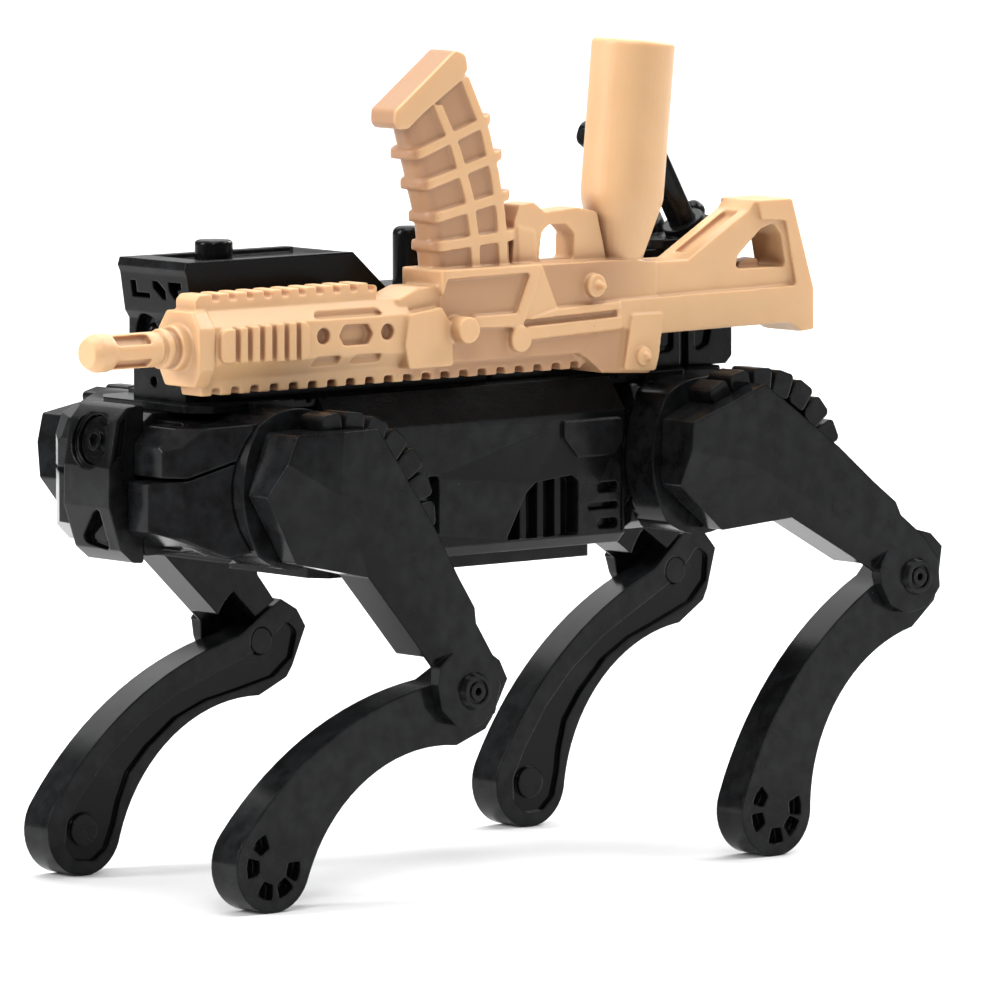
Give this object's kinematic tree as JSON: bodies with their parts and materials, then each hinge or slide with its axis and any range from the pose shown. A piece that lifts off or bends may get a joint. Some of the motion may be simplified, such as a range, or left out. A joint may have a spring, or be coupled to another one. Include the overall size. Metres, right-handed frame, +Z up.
{
  "type": "toy robot dog",
  "caption": "Palm-sized toy quadruped robot with hinged hips and knees, a sensor box, a leaning mast and a clip-on upside-down toy rifle.",
  "frame": {"origin": "centre of the underside of the whole toy, on the floor under the body", "axes": "+X toward the nose and muzzle, +Y to the robot's left where the rifle hangs, +Z up"},
  "size_m": [0.0394, 0.0162, 0.0314],
  "materials": {
    "black_plastic": "glossy injection-moulded black plastic with faint moulding marks",
    "textured_black": "black plastic with a fine stippled bevel along the top",
    "pin_plastic": "glossy black plastic pins",
    "lens_black": "very smooth black plastic lens faces",
    "tan_plastic": "satin tan plastic, slightly cloudy"
  },
  "bodies": {
    "torso": {"belly_pan": "black_plastic", "cheek_lower_left": "black_plastic", "cheek_lower_right": "black_plastic", "cheek_upper_left": "black_plastic", "cheek_upper_right": "black_plastic", "deck_post": "black_plastic", "face_bar": "black_plastic", "front_hip_frame": "black_plastic", "front_swing_drums": "black_plastic", "head_core": "black_plastic", "lower_camera_lens": "lens_black", "mast_base": "black_plastic", "mast_rods": "black_plastic", "rear_block": "black_plastic", "rear_hip_frame": "black_plastic", "rear_swing_drums": "black_plastic", "sensor_box": "black_plastic", "sensor_lenses": "lens_black", "side_panel_left": "textured_black", "side_panel_right": "textured_black", "spine_core": "black_plastic", "tail_knob": "black_plastic", "tail_plate": "black_plastic", "top_deck": "black_plastic", "top_peg": "black_plastic", "upper_camera_lens": "lens_black"},
    "thigh_front_left": {"thigh_front_left": "black_plastic", "motor_fins_front_left": "black_plastic", "hip_axle_front_left": "pin_plastic", "knee_pin_front_left": "pin_plastic"},
    "shank_front_left": {"shank_front_left": "black_plastic"},
    "thigh_front_right": {"thigh_front_right": "black_plastic", "motor_fins_front_right": "black_plastic", "hip_axle_front_right": "pin_plastic", "knee_pin_front_right": "pin_plastic"},
    "shank_front_right": {"shank_front_right": "black_plastic"},
    "thigh_rear_left": {"thigh_rear_left": "black_plastic", "motor_fins_rear_left": "black_plastic", "hip_axle_rear_left": "pin_plastic", "knee_pin_rear_left": "pin_plastic"},
    "shank_rear_left": {"shank_rear_left": "black_plastic"},
    "thigh_rear_right": {"thigh_rear_right": "black_plastic", "motor_fins_rear_right": "black_plastic", "hip_axle_rear_right": "pin_plastic", "knee_pin_rear_right": "pin_plastic"},
    "shank_rear_right": {"shank_rear_right": "black_plastic"},
    "rifle": {"toy_rifle": "tan_plastic"}
  },
  "joints": [
    {"name": "hip_front_left", "type": "hinge", "parent": "torso", "child": "thigh_front_left", "pos_m": [0.01131, 0.0064, 0.01544], "axis": [0, -1, 0], "range_deg": [-39.6, 25.4]},
    {"name": "knee_front_left", "type": "hinge", "parent": "thigh_front_left", "child": "shank_front_left", "pos_m": [0.00465, 0.0064, 0.00762], "axis": [0, -1, 0], "range_deg": [0, 28]},
    {"name": "hip_front_right", "type": "hinge", "parent": "torso", "child": "thigh_front_right", "pos_m": [0.01131, -0.0064, 0.01544], "axis": [0, -1, 0], "range_deg": [-34, 31]},
    {"name": "knee_front_right", "type": "hinge", "parent": "thigh_front_right", "child": "shank_front_right", "pos_m": [0.00392, -0.0064, 0.00831], "axis": [0, -1, 0], "range_deg": [0, 28]},
    {"name": "hip_rear_left", "type": "hinge", "parent": "torso", "child": "thigh_rear_left", "pos_m": [-0.00875, 0.0064, 0.01544], "axis": [0, -1, 0], "range_deg": [-19.5, 45.5]},
    {"name": "knee_rear_left", "type": "hinge", "parent": "thigh_rear_left", "child": "shank_rear_left", "pos_m": [-0.01769, 0.0064, 0.01038], "axis": [0, -1, 0], "range_deg": [0, 28]},
    {"name": "hip_rear_right", "type": "hinge", "parent": "torso", "child": "thigh_rear_right", "pos_m": [-0.00875, -0.0064, 0.01544], "axis": [0, -1, 0], "range_deg": [-24.9, 40.1]},
    {"name": "knee_rear_right", "type": "hinge", "parent": "thigh_rear_right", "child": "shank_rear_right", "pos_m": [-0.01717, -0.0064, 0.00957], "axis": [0, -1, 0], "range_deg": [0, 28]},
    {"name": "rifle_clip", "type": "slide", "parent": "torso", "child": "rifle", "axis": [0, 1, 0], "range_m": [0, 0.012]}
  ]
}
